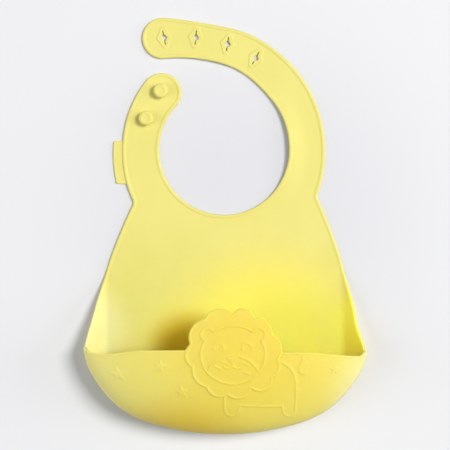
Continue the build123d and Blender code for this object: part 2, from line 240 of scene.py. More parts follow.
# ------------------------ the flat outline
def pinch(strap_circle, side_circle, corner):
    """The fillet in the notch where a strap's outer edge meets a side of the chest."""
    (ca, ra), (cb, rb) = strap_circle, side_circle
    pa, pb = ra + PINCH_R, rb + PINCH_R
    gap = np.array(cb) - np.array(ca)
    d = math.hypot(*gap)
    along = (pa * pa - pb * pb + d * d) / (2 * d)
    up = math.sqrt(pa * pa - along * along)
    unit = gap / d
    foot = np.array(ca) + unit * along
    choices = [foot + s * up * np.array([-unit[1], unit[0]]) for s in (-1, 1)]
    centre = min(choices, key=lambda c: math.hypot(*(c - np.array(corner))))
    on_strap = np.array(ca) + (centre - np.array(ca)) * ra / pa
    on_side = np.array(cb) + (centre - np.array(cb)) * rb / pb
    return centre, on_strap, on_side


RIGHT_PINCH, LEFT_PINCH = (67.5, 21.5), (-68.3, 16.8)
RIGHT_CORNER, LEFT_CORNER = np.array([POCKET_X, MOUTH_Y]), np.array([-POCKET_X, MOUTH_Y])
outer_end = polar(STRAP, STRAP_OUT, OUTER_ANGLE)
outer_circle = circle_through(RIGHT_PINCH, polar(STRAP, STRAP_OUT, 25), outer_end)
right_circle = circle_through(RIGHT_PINCH, (89.4, -36.0), RIGHT_CORNER)
stud_top = polar(STUD_END, STUD_END_R, 138)
shoulder_circle = circle_through(stud_top, polar((1.7, 56.5), 79.2, 175), LEFT_PINCH)
left_circle = circle_through(LEFT_PINCH, (-89.6, -36.0), LEFT_CORNER)

centre_r, strap_r, side_r = pinch(outer_circle, right_circle, RIGHT_PINCH)
centre_l, strap_l, side_l = pinch(shoulder_circle, left_circle, LEFT_PINCH)
strap_end_top, strap_end_low = np.array([-46.6, 155.3]), np.array([-46.6, 124.5])
outer_way = polar((0, 0), 1.0, OUTER_ANGLE + 90)
inner_end = polar(STRAP, STRAP_IN, INNER_ANGLE)
inner_way = polar((0, 0), 1.0, INNER_ANGLE + 90)
neck_end = polar(NECK, NECK_R, NECK_ANGLE)

chain = join(
    short_arc(right_circle[0], RIGHT_CORNER, side_r),
    short_arc(centre_r, side_r, strap_r),
    short_arc(outer_circle[0], strap_r, outer_end),
    tangent_arc(outer_end, outer_way, strap_end_top),
    three_arc(strap_end_top, (-62.0, 139.9), strap_end_low),
    tangent_arc(inner_end, inner_way, strap_end_low)[::-1],
    arc(STRAP, STRAP_IN, INNER_ANGLE, 0),
    arc(NECK, NECK_R, 0, NECK_ANGLE - 360),
    three_arc(neck_end, polar(STUD_END, STUD_END_R, 45), stud_top),
    short_arc(shoulder_circle[0], stud_top, strap_l),
    short_arc(centre_l, strap_l, side_l),
    short_arc(left_circle[0], side_l, LEFT_CORNER),
)


def settle(points):
    """The soft edge as it lies: a little off the part's arcs, by up to two millimetres."""
    x, y = points.T
    out = points.copy()
    ray = np.stack([x - STRAP[0], y - STRAP[1]], 1)
    reach = np.hypot(ray[:, 0], ray[:, 1])
    angle = np.degrees(np.arctan2(ray[:, 1], ray[:, 0]))
    ray /= reach[:, None]
    on_inner = (reach < 75) & (x > 0) & (y > 50) & (angle > 0)
    on_outer = (reach > 80) & (x > -45) & (y > 60)
    shift = np.where(on_inner, -1.7 * np.exp(-(((angle - 44) / 18.0) ** 2)), 0.0)
    shift += np.where(on_outer, 0.7 * np.exp(-(((angle - 70) / 14.0) ** 2)), 0.0)
    out += ray * shift[:, None]
    right_edge = (x > 50) & (reach > 80)
    out[:, 0] += np.where(right_edge, 1.4 * np.exp(-(((y - 4) / 46.0) ** 2)), 0.0)
    shoulder = (x < -60) & (y > 5)
    out[:, 0] += np.where(shoulder, 0.6 * np.exp(-(((y - 62) / 30.0) ** 2)), 0.0)
    right_low = (x > 80) & (y < -50)
    out[:, 0] -= np.where(right_low, 1.3 * np.exp(-(((y + 76) / 11.0) ** 2)), 0.0)
    return out


chain = settle(chain)


def crossing(line, a, b):
    """Puts the points where the segment a-b crosses a polyline into it, and returns both."""
    a, b = np.array(a, float), np.array(b, float)
    found, out = [], [line[0]]
    for p, q in zip(line[:-1], line[1:]):
        m = np.array([q - p, -(b - a)]).T
        if abs(np.linalg.det(m)) > 1e-9:
            s, t = np.linalg.solve(m, a - p)
            if 0 < s < 1 and 0 < t < 1:
                hit = p + s * (q - p)
                if math.hypot(*(hit - out[-1])) < 0.25 and len(out) > 1:
                    out[-1] = hit
                    found.append(hit)
                    out.append(q)
                    continue
                out.append(hit)
                found.append(hit)
                if math.hypot(*(hit - q)) < 0.25:
                    continue
        out.append(q)
    return np.array(out), found


# Cuts across the bib between its flex lines, which divide it into separate lengths.
RIGHT_CUT, LEFT_CUT = 36.0, 56.0  # in Y
LOW_CUT, HIGH_CUT = 24, 67.5  # in degrees about STRAP
CUTS = {
    "right": ((30.0, RIGHT_CUT), (100.0, RIGHT_CUT)),
    "strap_low": (tuple(polar(STRAP, 50, LOW_CUT)), tuple(polar(STRAP, 110, LOW_CUT))),
    "strap_high": (tuple(polar(STRAP, 50, HIGH_CUT)), tuple(polar(STRAP, 110, HIGH_CUT))),
    "left": ((-100.0, LEFT_CUT), (-30.0, LEFT_CUT)),
    "studs": ((-82.5, 86.0), (-34.0, 74.0)),
}
cut_ends = {}
for name, (a, b) in CUTS.items():
    chain, cut_ends[name] = crossing(chain, a, b)

# How far in from an edge the rings of points beside it lie.
EDGE_RINGS = (0.1, 0.28, 0.55, 0.9, 1.35, 1.8, 2.2, 2.6, 3.0, 3.5, 4.6, 6.4)


def cut_line(p, q):
    """Points across a strap, close together at both edges."""
    length = math.hypot(*(q - p))
    marks = list(EDGE_RINGS) + list(np.arange(9.0, length / 2, 2.8))
    marks = [m for m in marks if m < length / 2 - 0.5]
    marks = [0.0] + marks + [length / 2] + [length - m for m in reversed(marks)] + [length]
    return p + np.array(marks)[:, None] / length * (q - p)


cut_lines = [cut_line(*ends) for ends in cut_ends.values()]

# ------------------------ buttonholes and studs
HOLES = [(-45.7, 140.2, 8.0), (-22.0, 140.4, -9.0), (1.8, 135.6, -13.0), (22.9, 125.0, -32.0)]


def to_hole(points, hole):
    """Points in a buttonhole's own axes, its slit along the second."""
    x, y, tilt = hole
    c, s = math.cos(math.radians(tilt)), math.sin(math.radians(tilt))
    dx, dy = points[:, 0] - x, points[:, 1] - y
    return np.stack([c * dx + s * dy, -s * dx + c * dy], 1)


def from_hole(points, hole):
    """Points given in a buttonhole's own axes, back in the plan."""
    x, y, tilt = hole
    c, s = math.cos(math.radians(tilt)), math.sin(math.radians(tilt))
    u, v = points[:, 0], points[:, 1]
    return np.stack([x + c * u - s * v, y + s * u + c * v], 1)


def slit_loop():
    """The cut through a buttonhole: a diamond eye with a narrow slit above and below."""
    runs = [np.arange(-5.0, -2.2, 0.45), np.arange(-2.2, 2.3, 0.36), np.arange(2.6, 5.1, 0.45)]
    v = np.concatenate(runs)
    eye = np.clip(1 - np.abs(v) / 2.5, 0, 1)
    half = 0.34 + 1.75 * eye**0.85
    lean = 0.45 * eye - 0.06 * v
    right = np.stack([lean + half, v], 1)
    left = np.stack([lean - half, v], 1)[::-1]
    tip_high = np.array([[lean[-1], 5.3]])
    tip_low = np.array([[lean[0], -5.35]])
    return np.concatenate([right, tip_high, left, tip_low])


PAD_END = 8.4  # half the length of the raised pad round a buttonhole


def pad_half(v):
    """Half the width of the raised pad round a buttonhole: a lens with a bulge at the middle."""
    body = 3.7 * np.sqrt(np.clip(1 - (v / PAD_END) ** 2, 0, 1))
    return body + 1.8 * np.exp(-((v / 2.5) ** 2))


def pad_height(points):
    """The pads' height above the strap."""
    height = np.zeros(len(points))
    for hole in HOLES:
        q = to_hole(points, hole)
        reach = pad_half(q[:, 1]) - np.abs(q[:, 0])
        ends = (PAD_END - np.abs(q[:, 1])) * 0.55
        rim = np.minimum(reach, ends)
        height = np.maximum(height, 0.42 * smooth((rim + 0.25) / 0.75))
        height += 0.16 * np.exp(-(((rim - 0.55) / 0.4) ** 2))
    return height


# ------------------------ the sheet's shape in space
def side_profile(r):
    """Height and slope of the chest's cross-section at r from its middle line."""
    start = FLOOR_X - BEND * math.tan(SIDE_ANGLE / 2)
    end = FLOOR_X + BEND * math.tan(SIDE_ANGLE / 2) * math.cos(SIDE_ANGLE)
    bend = np.clip((r - start) / BEND, 0, math.sin(SIDE_ANGLE))
    rolled = BEND - np.sqrt(BEND**2 - (bend * BEND) ** 2)
    z = np.where(r > end, (r - FLOOR_X) * math.tan(SIDE_ANGLE), rolled)
    theta = np.where(r > end, SIDE_ANGLE, np.arcsin(bend))
    return np.where(r > start, z, 0.0), np.where(r > start, theta, 0.0)


BOWL_FLAT = 78.0  # along its long axis, the back of the pocket is flat out to here
BOWL_TURN = POCKET_X - BOWL_FLAT


def base(points):
    """The underside of the sheet, and its upward normal, at points of the plan."""
    x, y = points[:, 0], points[:, 1]
    low = y < MOUTH_Y
    z, theta = side_profile(np.abs(x))
    place = np.stack([x, y, z], 1)
    normal = np.stack([-np.sign(x) * np.sin(theta), np.zeros(len(x)), np.cos(theta)], 1)

    px, py = x / POCKET_X, (y - MOUTH_Y) / POCKET_Y
    t = np.maximum(np.hypot(px, py), 1e-9)
    c, s = px / t, py / t
    round_off = smooth((np.abs(s) - 0.05) / 0.55)
    z1, theta1 = side_profile(POCKET_X * t)
    beta = np.clip((t * POCKET_X - BOWL_FLAT) / BOWL_TURN, 0, 1) * math.pi / 2
    r2 = np.where(t * POCKET_X > BOWL_FLAT, BOWL_FLAT + BOWL_TURN * np.sin(beta), t * POCKET_X)
    z2 = SEAM_Z * (1 - np.cos(beta))
    theta2 = np.arctan2(SEAM_Z * np.sin(beta), BOWL_TURN * np.cos(beta) + 1e-9)
    r = (1 - round_off) * POCKET_X * t + round_off * r2
    zb = (1 - round_off) * z1 + round_off * z2
    theta_b = (1 - round_off) * theta1 + round_off * theta2
    squeeze = np.sqrt(c**2 + (POCKET_X / POCKET_Y * s) ** 2)
    theta_b = np.arctan2(np.sin(theta_b) * squeeze, np.cos(theta_b))
    mx, my = c / POCKET_X, s / POCKET_Y
    m = np.maximum(np.hypot(mx, my), 1e-12)
    bowl = np.stack([r * c, MOUTH_Y + POCKET_Y / POCKET_X * r * s, zb], 1)
    sin_b = np.sin(theta_b)
    bowl_normal = np.stack([-sin_b * mx / m, -sin_b * my / m, np.cos(theta_b)], 1)
    place[low] = bowl[low]
    normal[low] = bowl_normal[low]
    return place, normal


def lift(points):
    """How far the soft collar stands off the table."""
    x, y = points[:, 0], points[:, 1]
    to_neck = np.hypot(x - NECK[0], y - NECK[1]) - NECK_R
    to_strap = np.hypot(x - STRAP[0], y - STRAP[1]) - STRAP_IN
    gap = np.where(y < NECK[1], to_neck, to_strap)
    angle = np.degrees(np.arctan2(y - NECK[1], x - NECK[0]))
    gap = np.maximum(gap, 0)
    right = 3.6 * np.exp(-((gap / 8.5) ** 2)) * np.exp(-(((angle - 4) / 34.0) ** 2))
    tip = 1.1 * smooth((angle - 55) / 45) * smooth((to_strap + 12) / 8)
    tip *= np.exp(-((gap / 14.0) ** 2))
    return right + tip * smooth((x + 66) / 40) * smooth((y - 112) / 12)


# How far the pocket's edge lies from the part's, in Y, at distances either side of its middle.
DROOP_AT = [0.0, 43.0, 60.0, 70.0, 78.0, 85.0, 91.0, 96.0, 101.0, 106.0]
DROOP_LEFT = [-1.0, -1.3, -1.9, -2.0, -1.4, 0.0, 1.6, 3.1, 4.0, 4.0]
DROOP_RIGHT = [-1.0, -1.3, -1.9, -2.0, -1.4, 0.0, 1.2, 2.2, 1.9, 0.3]


def droop(points, plan):
    """The soft pocket hangs fuller below its corners: moves points along Y, given their plan."""
    x, y = plan[:, 0], plan[:, 1]
    rho = np.hypot(x / POCKET_X, np.minimum(y - MOUTH_Y, 0) / POCKET_Y)
    to_left = np.interp(-points[:, 0], DROOP_AT, DROOP_LEFT)
    to_right = np.interp(points[:, 0], DROOP_AT, DROOP_RIGHT)
    amount = np.where(points[:, 0] > 0, to_right, to_left)
    reach = smooth((rho - 0.62) / 0.36) * np.where(y > MOUTH_Y, smooth((-64 - y) / 30), 1.0)
    points[:, 1] += amount * reach
    return points


def rounding(d, radius):
    """How far a rounded edge falls away, d inside it."""
    e = np.clip(radius - d, 0, radius)
    return radius - np.sqrt(np.maximum(radius**2 - e**2, 0))


def bead(d, y):
    """The raised edge, d inside it: it runs out towards the pocket's corners."""
    return EDGE_RISE * (1 - smooth((d - 1.7) / 1.4)) * (0.12 + 0.88 * smooth((y + 66) / 44))


# ------------------------ one pattern for the whole sheet
bowl_curve = arc((0, 0), 1.0, 180, 360, step=BOWL_STEP)
bowl_curve = np.stack([bowl_curve[:, 0] * POCKET_X, MOUTH_Y + bowl_curve[:, 1] * POCKET_Y], 1)
outline = join(chain, bowl_curve)[:-1]
hole_loops = [from_hole(slit_loop(), hole) for hole in HOLES]


def constrained(loops, lines, free):
    """Triangles over a flat region: loops bound it, lines stay as edges, free points fill it."""
    points, edges = [], []

    def add(run):
        first = len(points)
        points.extend(run)
        count = len(run)
        edges.extend((first + k, first + (k + 1) % count) for k in range(count))

    for loop in loops:
        add(list(loop))
    for line in lines:
        first = len(points)
        points.extend(line[1:-1])
        ends = [int(np.argmin(((loops[0] - e) ** 2).sum(1))) for e in (line[0], line[-1])]
        run = [ends[0]] + list(range(first, first + len(line) - 2)) + [ends[1]]
        edges.extend(zip(run[:-1], run[1:]))
    points.extend(free)
    found = delaunay_2d_cdt([Vector(p) for p in points], edges, [], 0, 1e-5)
    flat = np.array([tuple(v) for v in found[0]])
    faces = np.array([f for f in found[2] if len(f) == 3])
    middle = flat[faces].mean(1)
    keep = inside(middle, loops[0])
    for loop in loops[1:]:
        keep &= ~inside(middle, loop)
    a, b, c = flat[faces[:, 0]], flat[faces[:, 1]], flat[faces[:, 2]]
    area = (b[:, 0] - a[:, 0]) * (c[:, 1] - a[:, 1]) - (b[:, 1] - a[:, 1]) * (c[:, 0] - a[:, 0])
    keep &= np.abs(area) > 1e-7
    faces[area < 0] = faces[area < 0][:, ::-1]
    return flat, faces[keep]


rings = offsets(chain, EDGE_RINGS)
rings = rings[distance(rings, chain) > np.repeat(EDGE_RINGS, len(chain)) - 0.06]
fixed = np.concatenate([outline] + cut_lines + hole_loops)
near_cut = np.concatenate(cut_lines)
rings = sparse(rings, near_cut, 0.001)  # no point twice
for line in cut_lines:
    rings = rings[distance(rings, line) > 0.45]
pads = []
along_pad = np.arange(-8.3, 8.31, 0.45)
for hole in HOLES:
    for grow in (-1.7, -1.1, -0.7, -0.4, -0.1, 0.2, 0.5, 0.9, 1.5):
        for side in (-1, 1):
            edge = np.stack([side * (pad_half(along_pad) + grow), along_pad * (1 + grow * 0.08)], 1)
            pads.append(from_hole(edge, hole))
    for grow in (0.25, 0.6, 1.1):
        pads.append(from_hole(offsets(slit_loop(), (-grow,), True), hole))
pads = np.concatenate(pads)
pads = pads[distance(pads, chain) > 6.6]
for loop in hole_loops:
    pads = pads[~inside(pads, loop)]
    pads = pads[distance(pads, loop, True) > 0.2]
pads = sparse(pads, near_cut, 0.3)
rings = rings[inside(rings, outline)]
# A finer grid where the sides of the chest and the pocket turn up.
fine = lattice((-POCKET_X, MOUTH_Y - POCKET_Y), (POCKET_X, -20), 1.7)
reach = np.where(
    fine[:, 1] > MOUTH_Y,
    np.abs(fine[:, 0]),
    POCKET_X * np.hypot(fine[:, 0] / POCKET_X, (fine[:, 1] - MOUTH_Y) / POCKET_Y),
)
fine = fine[reach > 76]
coarse = lattice((-POCKET_X, MOUTH_Y - POCKET_Y), (POCKET_X, 156), 3.0)
grid = np.concatenate([fine, coarse])
grid = grid[inside(grid, outline)]
grid = grid[distance(grid, outline, True) > 0.9]
grid = grid[(distance(grid, chain) > 7.2) | (grid[:, 1] < MOUTH_Y)]
for loop in hole_loops:
    grid = grid[~inside(grid, loop)]
grid = sparse(grid, np.concatenate([fixed, rings, pads]), 1.15)
filling = np.concatenate([rings, pads, grid])
flat, triangles = constrained([outline] + hole_loops, cut_lines, filling)

to_edge = distance(flat, chain)
to_slit = np.min([distance(flat, loop, True) for loop in hole_loops], 0)
under, up = base(flat)
under[:, 2] += lift(flat)
# The edge is square where the pocket's corners close against it.
soft = 1 - smooth((-85.0 - flat[:, 1]) / 6.0)
top_h = SHEET + bead(to_edge, flat[:, 1]) - rounding(to_edge, 1.15) * soft
top_h += pad_height(flat) - rounding(to_slit, 0.35)
low_h = rounding(to_edge, 0.7) * soft + rounding(to_slit, 0.3)
# Shallow waves that the moulding's skin shows in a grazing light.
x, y = flat[:, 0], flat[:, 1]
wave = 0.10 * np.sin(x * 0.061 + y * 0.043 + 0.7) + 0.08 * np.sin(x * 0.034 - y * 0.071 + 2.1)
top_h += wave * smooth((to_edge - 3) / 10) * 0.6
upper = droop(under + up * top_h[:, None], flat)
lower = droop(under + up * low_h[:, None], flat)

middle = flat[triangles].mean(1)
strap_angle = np.degrees(np.arctan2(middle[:, 1] - STRAP[1], middle[:, 0] - STRAP[0]))
(sx0, sy0), (sx1, sy1) = CUTS["studs"]
beyond_studs = (sx1 - sx0) * (middle[:, 1] - sy0) - (sy1 - sy0) * (middle[:, 0] - sx0) > 0
# Above STUDS_TOP there is only the buttonhole strap, on both sides of the neck.
STUDS_TOP = 118
on_right = (middle[:, 0] > -10) & (middle[:, 1] > RIGHT_CUT) | (middle[:, 1] > STUDS_TOP)
on_left = (middle[:, 0] < -20) & (middle[:, 1] > LEFT_CUT) & (middle[:, 1] < STUDS_TOP)
member = np.zeros(len(triangles), int)
member[on_right & (strap_angle < LOW_CUT)] = 1
member[on_right & (strap_angle >= LOW_CUT) & (strap_angle < HIGH_CUT)] = 2
member[on_right & (strap_angle >= HIGH_CUT)] = 3
member[on_left & ~beyond_studs] = 4
member[on_left & beyond_studs] = 5


def add_mesh(name, points, faces):
    """A smooth-shaded object in the scene, from points in metres."""
    mesh = bpy.data.meshes.new(name)
    mesh.from_pydata(points, [], faces)
    mesh.validate()
    mesh.update()
    mesh.polygons.foreach_set("use_smooth", [True] * len(mesh.polygons))
    thing = bpy.data.objects.new(name, mesh)
    bpy.context.collection.objects.link(thing)
    return thing


def closed_mesh(name, faces, top, bottom, edge_faces):
    """A solid sheet from one set of triangles: a top, a bottom, and walls along its real edges."""
    used = np.unique(faces)
    index = np.full(len(top), -1)
    index[used] = np.arange(len(used))
    count = len(used)
    local = index[faces]
    all_faces = [tuple(f) for f in local] + [tuple(f[::-1] + count) for f in local]
    mine = set()
    for pair in ([0, 1], [1, 2], [2, 0]):
        mine |= set(map(tuple, np.sort(faces[:, pair], 1)))
    for a, b in edge_faces:
        if (min(a, b), max(a, b)) in mine:
            i, j = index[a], index[b]
            all_faces.append((i, i + count, j + count, j))
    points = np.concatenate([top[used], bottom[used]]) * MM
    return add_mesh(name, [tuple(p) for p in points], all_faces)


def open_edges(faces):
    """The directed edges that only one triangle has."""
    edges = np.concatenate([faces[:, [0, 1]], faces[:, [1, 2]], faces[:, [2, 0]]])
    keys = np.sort(edges, 1)
    _, where, counts = np.unique(keys, axis=0, return_index=True, return_counts=True)
    return [tuple(edges[k]) for k in where[counts == 1]]


sheet_edges = open_edges(triangles)
names = ["bib_panel", "buttonhole_strap_root", "buttonhole_strap_middle", "buttonhole_strap_end"]
names += ["stud_strap_root_length", "stud_strap_end_length"]
sheets = {}
for k, name in enumerate(names):
    sheets[name] = closed_mesh(name, triangles[member == k], upper, lower, sheet_edges)

# ------------------------ the pocket's front and its drawing
# Each lock of the mane: where it starts, and a point its arc passes through.
LOCKS = [
    ((5.8, -64.0), (13.5, -60.2)),
    ((21.3, -67.2), (31.0, -70.4)),
    ((34.5, -79.1), (41.0, -86.6)),
    ((38.4, -96.9), (40.0, -102.1)),
    ((34.2, -110.5), (28.4, -119.9)),
    ((19.0, -118.2), (12.2, -125.6)),
    ((1.8, -123.0), (-6.5, -124.4)),
    ((-13.9, -117.3), (-20.7, -113.7)),
    ((-23.9, -103.0), (-29.4, -94.3)),
    ((-25.5, -86.2), (-26.2, -78.8)),
    ((-15.2, -68.2), (-4.6, -60.4)),
]
FINE = 0.45
lock_ends = [corner for corner, _ in LOCKS[1:] + LOCKS[:1]]
mane = join(*[three_arc(c, t, end, FINE) for (c, t), end in zip(LOCKS, lock_ends)])[:-1]

FACE = (5.6, -93.8)
FACE_R = (23.3, 20.9)
FLAT_TOP, ROUND_SIDE = 2.7, 2.2  # the wall is flatter in its middle than an ellipsoid


def dome_height(points):
    """The front wall's outer face above the table."""
    rho = np.hypot(points[:, 0] / POCKET_X, (points[:, 1] - MOUTH_Y) / POCKET_Y)
    return SEAM_Z + DOME * np.clip(1 - rho**FLAT_TOP, 0, 1) ** (1 / ROUND_SIDE)


def mouth_line():
    """The rim of the pocket in plan, from its left corner to its right."""
    corners = np.linspace(-POCKET_X, -88, 40), np.linspace(88, POCKET_X, 40)
    x = np.concatenate([corners[0], np.linspace(-87.4, 87.4, 300), corners[1]])
    y = np.full(len(x), MOUTH_Y)
    for _ in range(20):
        y = MOUTH_Y + MOUTH_LEAN * (dome_height(np.stack([x, y], 1)) - SEAM_Z) / DOME
    ends = np.sqrt(1 - (1 - np.clip((POCKET_X - np.abs(x)) / 9, 0, 1)) ** 2)
    y -= np.where(x < 0, 0.8, 1.9) * ends
    drop = ([0, 62, 74, 86, 93, 99, 104], [0, 0.1, 0.7, 1.9, 3.3, 4.6, 4.0])
    y -= np.interp(np.abs(x), *drop) * ends
    return np.stack([x, y], 1)


rim = mouth_line()
rim_y = np.interp(mane[:, 0], rim[:, 0], rim[:, 1])
above = mane[:, 1] > rim_y
start = [k for k in range(len(mane)) if above[k] and not above[k - 1]]
start = min(start, key=lambda k: mane[k, 0]) if start else 0
mane = np.roll(mane, -start, 0)
above = np.roll(above, -start)
free_mane = mane[: int(np.argmin(above))]
if free_mane[0, 0] > free_mane[-1, 0]:
    free_mane = free_mane[::-1]
free_edge = join(
    rim[rim[:, 0] < free_mane[0, 0] - 0.35],
    free_mane,
    rim[rim[:, 0] > free_mane[-1, 0] + 0.35],
)


def face_loop():
    """The face's outline, an oval with two small ears."""
    t = np.linspace(0, 2 * math.pi, 900, endpoint=False)
    d = np.stack([np.cos(t), np.sin(t)], 1)
    reach = 1 / np.sqrt((d[:, 0] / FACE_R[0]) ** 2 + (d[:, 1] / FACE_R[1]) ** 2)
    for side in (-1, 1):
        ex, ey = side * 18.6, 14.6
        along = d[:, 0] * ex + d[:, 1] * ey
        inner = along**2 - (ex * ex + ey * ey - 4.6**2)
        far = np.where(inner > 0, along + np.sqrt(np.maximum(inner, 0)), 0)
        reach = np.maximum(reach, np.where(along > 0, far, 0))
    return np.array(FACE) + d * reach[:, None]


def spline(points, first, last, count=40):
    """A smooth curve through points, leaving and arriving in the given directions."""
    points = np.array(points, float)
    slopes = np.gradient(points, axis=0)
    scale_first = math.hypot(*(points[1] - points[0]))
    scale_last = math.hypot(*(points[-1] - points[-2]))
    slopes[0] = np.array(first) / math.hypot(*first) * scale_first
    slopes[-1] = np.array(last) / math.hypot(*last) * scale_last
    out = []
    for k in range(len(points) - 1):
        t = np.linspace(0, 1, count // (len(points) - 1) + 2)[:, None]
        h00, h10 = 2 * t**3 - 3 * t**2 + 1, t**3 - 2 * t**2 + t
        h01, h11 = -2 * t**3 + 3 * t**2, t**3 - t**2
        out.append(h00 * points[k] + h10 * slopes[k] + h01 * points[k + 1] + h11 * slopes[k + 1])
    return join(*out)


def refined(points, step=FINE):
    """A polyline with a point every step."""
    points = np.array(points, float)
    gaps = np.hypot(*np.diff(points, axis=0).T)
    s = np.concatenate([[0], np.cumsum(gaps)])
    marks = np.linspace(0, s[-1], max(2, int(s[-1] / step) + 1))
    return np.stack([np.interp(marks, s, points[:, 0]), np.interp(marks, s, points[:, 1])], 1)


def closed_run(loop):
    return np.concatenate([loop, loop[:1]])


inset_mane = offsets(mane, (-0.8,), True)
inset_mane = inset_mane[distance(inset_mane, mane, True) > 0.72]
BROAD, THIN = 1.0, 0.82
# The raised lines of the drawing: points, half the width at the foot, height.
strokes = [
    (refined(closed_run(inset_mane)), BROAD, 0.5),
    (refined(closed_run(face_loop())), BROAD, 0.58),
    (refined(three_arc((-12.6, -104.8), (5.6, -94.4), (23.6, -105.4), FINE)), BROAD, 0.54),
    (refined(three_arc((23.6, -105.4), (22.9, -107.6), (20.4, -108.6), FINE)), BROAD, 0.5),
    (three_arc((-8.1, -89.4), (-4.6, -85.6), (-1.2, -89.4), FINE), THIN, 0.5),
    (three_arc((12.2, -89.5), (15.7, -85.6), (19.1, -89.5), FINE), THIN, 0.5),
    (refined([(5.4, -99.0), (5.4, -101.0)]), THIN, 0.5),
    (three_arc((5.4, -101.0), (2.6, -103.6), (-0.8, -101.9), FINE), THIN, 0.5),
    (three_arc((5.4, -101.0), (8.2, -103.7), (11.4, -102.6), FINE), THIN, 0.5),
    (refined([(-7.8, -101.9), (-3.7, -103.9)]), THIN, 0.5),
    (refined([(-3.2, -98.1), (0.8, -100.0)]), THIN, 0.5),
    (refined([(12.9, -99.6), (16.4, -101.4)]), THIN, 0.5),
    (refined([(13.0, -106.3), (17.2, -107.6)]), THIN, 0.5),
]
back = [(37.5, -98.6), (46.5, -103.3), (50.4, -110.5), (51.5, -118.5)]
body_line = join(
    spline(back, (1.0, -0.1), (0.0, -1.0)),
    np.array([(51.5, -118.5), (51.1, -133.4)]),
    three_arc((51.1, -133.4), (46.4, -138.2), (41.8, -133.4), FINE),
    np.array([(41.4, -131.1), (26.0, -131.4), (10.6, -130.4), (9.6, -134.0)]),
    three_arc((9.6, -134.0), (5.0, -138.3), (-0.3, -133.2), FINE),
    np.array([(-0.3, -133.2), (-0.7, -121.0)]),
)
body_line = refined(body_line)
strokes.append((body_line[~inside(body_line, mane)], BROAD, 0.58))


def star(x, y, radius, turn):
    """A five-pointed star's outline."""
    corners = []
    for k in range(10):
        reach = radius if k % 2 == 0 else radius * 0.46
        corners.append(polar((x, y), reach, 90 + turn + 36 * k))
    return refined(closed_run(np.array(corners)))[:-1]


tail = join(
    three_arc((56.4, -95.4), (59.5, -100.4), (60.1, -104.8), FINE),
    three_arc((60.1, -104.8), (56.5, -108.2), (52.9, -104.8), FINE),
    three_arc((52.9, -104.8), (54.0, -100.4), (56.4, -95.4), FINE),
)[:-1]
nose = [(1.2, -95.6), (5.4, -95.3), (9.7, -95.6), (8.6, -97.6), (5.4, -99.9), (2.4, -97.6)]
nose = refined(closed_run(np.array(nose)))[:-1]
# Small raised figures: outline, height.
figures = [
    (star(-77.6, -107.9, 6.0, 12.0), 0.5),
    (star(-47.2, -102.0, 5.4, -10.0), 0.5),
    (star(-31.2, -121.0, 5.0, 8.0), 0.5),
    (star(79.6, -104.5, 4.2, 0.0), 0.5),
    (tail, 0.65),
    (nose, 0.4),
]


def to_uv(points):
    """Plan points to the pattern of the domed wall, where its steep sides are laid out flat."""
    px, py = points[:, 0] / POCKET_X, (points[:, 1] - MOUTH_Y) / POCKET_Y
    rho = np.maximum(np.hypot(px, py), 1e-9)
    a = np.arcsin(np.minimum(rho, 1))
    return np.stack([POCKET_X * a * px / rho, POCKET_Y * a * py / rho], 1)


def from_uv(points):
    """Points of that pattern back to the plan, and how far down the dome each is, as an angle."""
    px, py = points[:, 0] / POCKET_X, points[:, 1] / POCKET_Y
    a = np.maximum(np.hypot(px, py), 1e-9)
    down = np.minimum(a, math.pi / 2)
    sin_a = np.sin(down)
    return np.stack([POCKET_X * sin_a * px / a, MOUTH_Y + POCKET_Y * sin_a * py / a], 1), down


seam = arc((0, 0), 1.0, 360, 180, step=BOWL_STEP)[1:-1]
seam_uv = seam * np.array([POCKET_X, POCKET_Y]) * math.pi / 2
edge_fine = refined(free_edge, 0.7)
front_loop = np.concatenate([to_uv(edge_fine), seam_uv])

front_rings = offsets(edge_fine, tuple(-g for g in EDGE_RINGS[:-1]))
gap_wanted = np.repeat(EDGE_RINGS[:-1], len(edge_fine))
ok = distance(front_rings, edge_fine) > gap_wanted - 0.06
ring_rho = np.hypot(front_rings[:, 0] / POCKET_X, (front_rings[:, 1] - MOUTH_Y) / POCKET_Y)
front_rings = front_rings[ok & (ring_rho < 0.999)]
# Where points lie across a raised line, in half-widths.
STROKE_MARKS = (-1.4, -1.05, -0.8, -0.5, -0.2, 0.2, 0.5, 0.8, 1.05, 1.4)
drawn = []
for line, half, _ in strokes:
    drawn.append(offsets(line, tuple(half * g for g in STROKE_MARKS)))
for loop, _ in figures:
    drawn.append(offsets(loop, (-0.75, -0.45, -0.2, 0.0, 0.2, 0.5), True))
drawn.append(offsets(mane, (-0.9, -0.5, -0.2, 0.1, 0.4), True))
drawn = np.concatenate(drawn)
drawn = drawn[distance(drawn, edge_fine) > 0.5]
drawn = sparse(drawn, front_rings, 0.26)
UV_Y = 92.0  # half the pattern's depth: a gap of g from the seam is g / UV_Y of the way in
seam_rings = np.concatenate([seam_uv * (1 - g / UV_Y) for g in (0.35, 0.7, 1.1, 1.6, 2.4, 3.6)])
front_grid = lattice((-166, -94), (166, 60), 2.5)
free_uv = np.concatenate([to_uv(front_rings), to_uv(drawn), seam_rings])
free_uv = free_uv[inside(free_uv, front_loop)]
free_uv = sparse(free_uv, front_loop, 0.07)
front_grid = front_grid[inside(front_grid, front_loop)]
front_grid = front_grid[distance(front_grid, front_loop, True) > 0.9]
front_grid = sparse(front_grid, np.concatenate([free_uv, front_loop]), 1.0)
front_flat, front_faces = constrained([front_loop], [], np.concatenate([free_uv, front_grid]))

